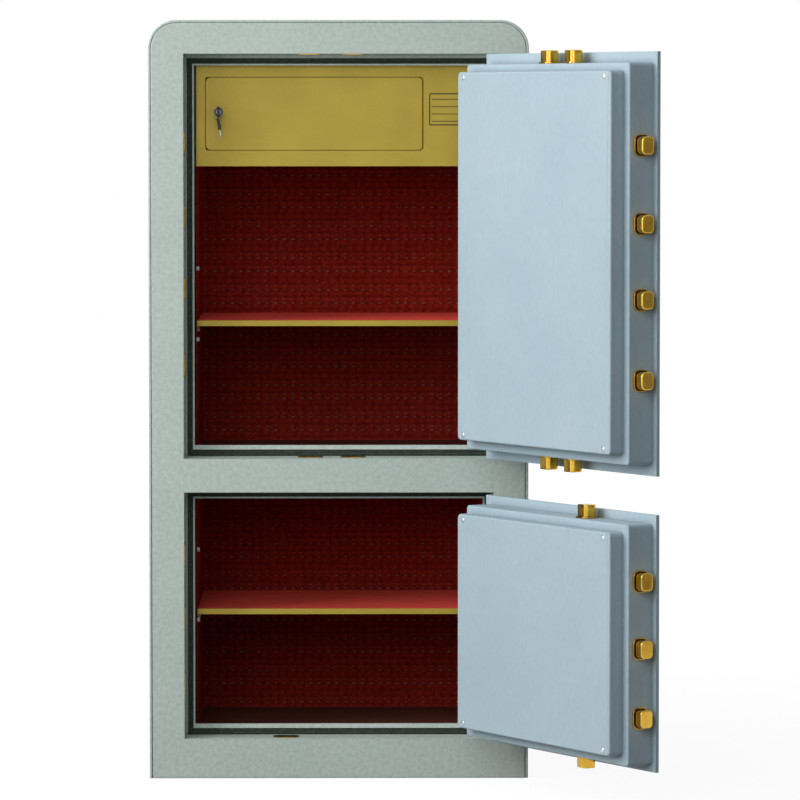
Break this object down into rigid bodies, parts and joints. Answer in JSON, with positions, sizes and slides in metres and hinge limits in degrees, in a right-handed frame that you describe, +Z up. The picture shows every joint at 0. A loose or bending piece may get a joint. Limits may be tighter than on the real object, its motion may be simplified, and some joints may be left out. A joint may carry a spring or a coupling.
{
  "type": "electronic safe",
  "caption": "Tall floor-standing safe with an upper and a lower door standing open, sliding brass bolts, felted shelves, a small locker with a cam lock and a keypad.",
  "frame": {"origin": "middle of the base, on the floor", "axes": "+Z up; -Y is the front, where the doors are; +X is the right side, where the hinges are"},
  "size_m": [0.7814, 0.9544, 1.2],
  "materials": {
    "cabinet_paint": "grey-green textured powder paint, satin",
    "door_paint": "pale blue-grey enamel, semi-gloss with faint brush marks",
    "gold_paint": "gold metallic paint, satin",
    "base_steel": "dark primer",
    "liner_steel": "bare cold-rolled sheet",
    "fire_filling": "cast mineral filling, rough",
    "carpet": "dark red ribbed carpet",
    "felt": "red wool felt",
    "seal_rubber": "black-green foam strip, matt",
    "brass": "polished brass plating",
    "hinge_steel": "turned steel, satin",
    "gear_steel": "machined steel",
    "lock_steel": "nickel-plated, bright",
    "screw_steel": "zinc-plated screws",
    "peg_plastic": "white nylon",
    "key_plastic": "black moulded key head",
    "keypad_plastic": "black textured housing",
    "button_plastic": "silver-grey keys, smooth"
  },
  "bodies": {
    "cabinet": {"outer_shell": "cabinet_paint", "back_plate": "cabinet_paint", "front_frame": "cabinet_paint", "base_plate": "base_steel", "fire_fill": "fire_filling", "upper_liner": "liner_steel", "lower_liner": "liner_steel", "carpet_lining": "carpet", "door_seals": "seal_rubber", "strike_bushes": "brass", "hinge_pins": "hinge_steel", "upper_shelf": "gold_paint", "lower_shelf": "gold_paint", "shelf_felts": "felt", "shelf_pegs": "peg_plastic", "locker_case": "gold_paint"},
    "locker_door": {"locker_door": "gold_paint", "locker_lock_body": "lock_steel"},
    "locker_plug": {"locker_lock_plug": "lock_steel", "locker_key": "key_plastic", "key_ring": "lock_steel"},
    "spare_key": {"spare_key": "key_plastic"},
    "upper_door": {"upper_door_plate": "door_paint", "upper_bolt_case": "door_paint", "upper_cover": "door_paint", "upper_cover_screws": "screw_steel", "upper_bolt_guides": "brass", "keypad_case": "keypad_plastic", "solenoid_lock": "gear_steel", "upper_rosette": "brass"},
    "upper_handle": {"upper_handle": "brass", "upper_drive_gear": "gear_steel"},
    "upper_side_bolts": {"upper_side_bolts": "brass"},
    "upper_top_bolts": {"upper_top_bolts": "brass"},
    "upper_bottom_bolts": {"upper_bottom_bolts": "brass"},
    "lower_door": {"lower_door_plate": "door_paint", "lower_bolt_case": "door_paint", "lower_cover": "door_paint", "lower_cover_screws": "screw_steel", "lower_bolt_guides": "brass", "lower_rosette": "brass", "lower_lock_body": "lock_steel"},
    "lower_handle": {"lower_handle": "brass", "lower_drive_gear": "gear_steel"},
    "lower_side_bolts": {"lower_side_bolts": "brass"},
    "lower_top_bolt": {"lower_top_bolt": "brass"},
    "lower_bottom_bolt": {"lower_bottom_bolt": "brass"},
    "lower_plug": {"lower_lock_plug": "brass"},
    "key_1": {"key_1": "button_plastic"},
    "key_2": {"key_2": "button_plastic"},
    "key_3": {"key_3": "button_plastic"},
    "key_4": {"key_4": "button_plastic"},
    "key_5": {"key_5": "button_plastic"},
    "key_6": {"key_6": "button_plastic"},
    "key_7": {"key_7": "button_plastic"},
    "key_8": {"key_8": "button_plastic"},
    "key_9": {"key_9": "button_plastic"},
    "key_star": {"key_star": "button_plastic"},
    "key_0": {"key_0": "button_plastic"},
    "key_hash": {"key_hash": "button_plastic"}
  },
  "joints": [
    {"name": "upper_door_swing", "type": "hinge", "parent": "cabinet", "child": "upper_door", "pos_m": [0.248, -0.2565, 0.8285], "axis": [0, 0, 1], "range_deg": [-109, 50]},
    {"name": "lower_door_swing", "type": "hinge", "parent": "cabinet", "child": "lower_door", "pos_m": [0.248, -0.2565, 0.2593], "axis": [0, 0, 1], "range_deg": [-109, 50]},
    {"name": "locker_door_swing", "type": "hinge", "parent": "cabinet", "child": "locker_door", "pos_m": [0.1323, -0.1635, 1.0553], "axis": [0, 0, 1], "range_deg": [0, 95]},
    {"name": "locker_lock_turn", "type": "hinge", "parent": "locker_door", "child": "locker_plug", "pos_m": [-0.1908, -0.165, 1.0553], "axis": [0, -1, 0], "range_deg": [0, 90]},
    {"name": "spare_key_hang", "type": "hinge", "parent": "locker_plug", "child": "spare_key", "pos_m": [-0.1908, -0.1814, 1.04799], "axis": [0, -1, 0], "range_deg": [-90, 0]},
    {"name": "upper_handle_turn", "type": "hinge", "parent": "upper_door", "child": "upper_handle", "pos_m": [0.40187, -0.55115, 0.8309], "axis": [0.8623, 0.5063, 0], "range_deg": [-47.63, 30.87]},
    {"name": "upper_side_bolts_slide", "type": "slide", "parent": "upper_door", "child": "upper_side_bolts", "axis": [-0.5063, 0.8623, 0], "range_m": [-0.0133, 0.0087]},
    {"name": "upper_top_bolts_slide", "type": "slide", "parent": "upper_door", "child": "upper_top_bolts", "axis": [0, 0, -1], "range_m": [-0.0133, 0.0087]},
    {"name": "upper_bottom_bolts_slide", "type": "slide", "parent": "upper_door", "child": "upper_bottom_bolts", "axis": [0, 0, 1], "range_m": [-0.0133, 0.0087]},
    {"name": "lower_handle_turn", "type": "hinge", "parent": "lower_door", "child": "lower_handle", "pos_m": [0.40187, -0.55115, 0.2623], "axis": [0.8623, 0.5063, 0], "range_deg": [-47.63, 30.87]},
    {"name": "lower_side_bolts_slide", "type": "slide", "parent": "lower_door", "child": "lower_side_bolts", "axis": [-0.5063, 0.8623, 0], "range_m": [-0.0133, 0.0087]},
    {"name": "lower_top_bolt_slide", "type": "slide", "parent": "lower_door", "child": "lower_top_bolt", "axis": [0, 0, -1], "range_m": [-0.0133, 0.0087]},
    {"name": "lower_bottom_bolt_slide", "type": "slide", "parent": "lower_door", "child": "lower_bottom_bolt", "axis": [0, 0, 1], "range_m": [-0.0133, 0.0087]},
    {"name": "lower_lock_turn", "type": "hinge", "parent": "lower_door", "child": "lower_plug", "pos_m": [0.40187, -0.55115, 0.3453], "axis": [0.8623, 0.5063, 0], "range_deg": [0, 90]},
    {"name": "key_1_press", "type": "slide", "parent": "upper_door", "child": "key_1", "axis": [-0.8623, -0.5063, 0], "range_m": [0, 0.0015], "stiffness_N_per_m": 400},
    {"name": "key_2_press", "type": "slide", "parent": "upper_door", "child": "key_2", "axis": [-0.8623, -0.5063, 0], "range_m": [0, 0.0015], "stiffness_N_per_m": 400},
    {"name": "key_3_press", "type": "slide", "parent": "upper_door", "child": "key_3", "axis": [-0.8623, -0.5063, 0], "range_m": [0, 0.0015], "stiffness_N_per_m": 400},
    {"name": "key_4_press", "type": "slide", "parent": "upper_door", "child": "key_4", "axis": [-0.8623, -0.5063, 0], "range_m": [0, 0.0015], "stiffness_N_per_m": 400},
    {"name": "key_5_press", "type": "slide", "parent": "upper_door", "child": "key_5", "axis": [-0.8623, -0.5063, 0], "range_m": [0, 0.0015], "stiffness_N_per_m": 400},
    {"name": "key_6_press", "type": "slide", "parent": "upper_door", "child": "key_6", "axis": [-0.8623, -0.5063, 0], "range_m": [0, 0.0015], "stiffness_N_per_m": 400},
    {"name": "key_7_press", "type": "slide", "parent": "upper_door", "child": "key_7", "axis": [-0.8623, -0.5063, 0], "range_m": [0, 0.0015], "stiffness_N_per_m": 400},
    {"name": "key_8_press", "type": "slide", "parent": "upper_door", "child": "key_8", "axis": [-0.8623, -0.5063, 0], "range_m": [0, 0.0015], "stiffness_N_per_m": 400},
    {"name": "key_9_press", "type": "slide", "parent": "upper_door", "child": "key_9", "axis": [-0.8623, -0.5063, 0], "range_m": [0, 0.0015], "stiffness_N_per_m": 400},
    {"name": "key_star_press", "type": "slide", "parent": "upper_door", "child": "key_star", "axis": [-0.8623, -0.5063, 0], "range_m": [0, 0.0015], "stiffness_N_per_m": 400},
    {"name": "key_0_press", "type": "slide", "parent": "upper_door", "child": "key_0", "axis": [-0.8623, -0.5063, 0], "range_m": [0, 0.0015], "stiffness_N_per_m": 400},
    {"name": "key_hash_press", "type": "slide", "parent": "upper_door", "child": "key_hash", "axis": [-0.8623, -0.5063, 0], "range_m": [0, 0.0015], "stiffness_N_per_m": 400}
  ],
  "couplings": [
    {"joint": "spare_key_hang", "follows": "locker_lock_turn", "ratio": -1},
    {"joint": "upper_side_bolts_slide", "follows": "upper_handle_turn", "m_per_rad": 0.016},
    {"joint": "upper_top_bolts_slide", "follows": "upper_handle_turn", "m_per_rad": 0.016},
    {"joint": "upper_bottom_bolts_slide", "follows": "upper_handle_turn", "m_per_rad": 0.016},
    {"joint": "lower_side_bolts_slide", "follows": "lower_handle_turn", "m_per_rad": 0.016},
    {"joint": "lower_top_bolt_slide", "follows": "lower_handle_turn", "m_per_rad": 0.016},
    {"joint": "lower_bottom_bolt_slide", "follows": "lower_handle_turn", "m_per_rad": 0.016}
  ]
}
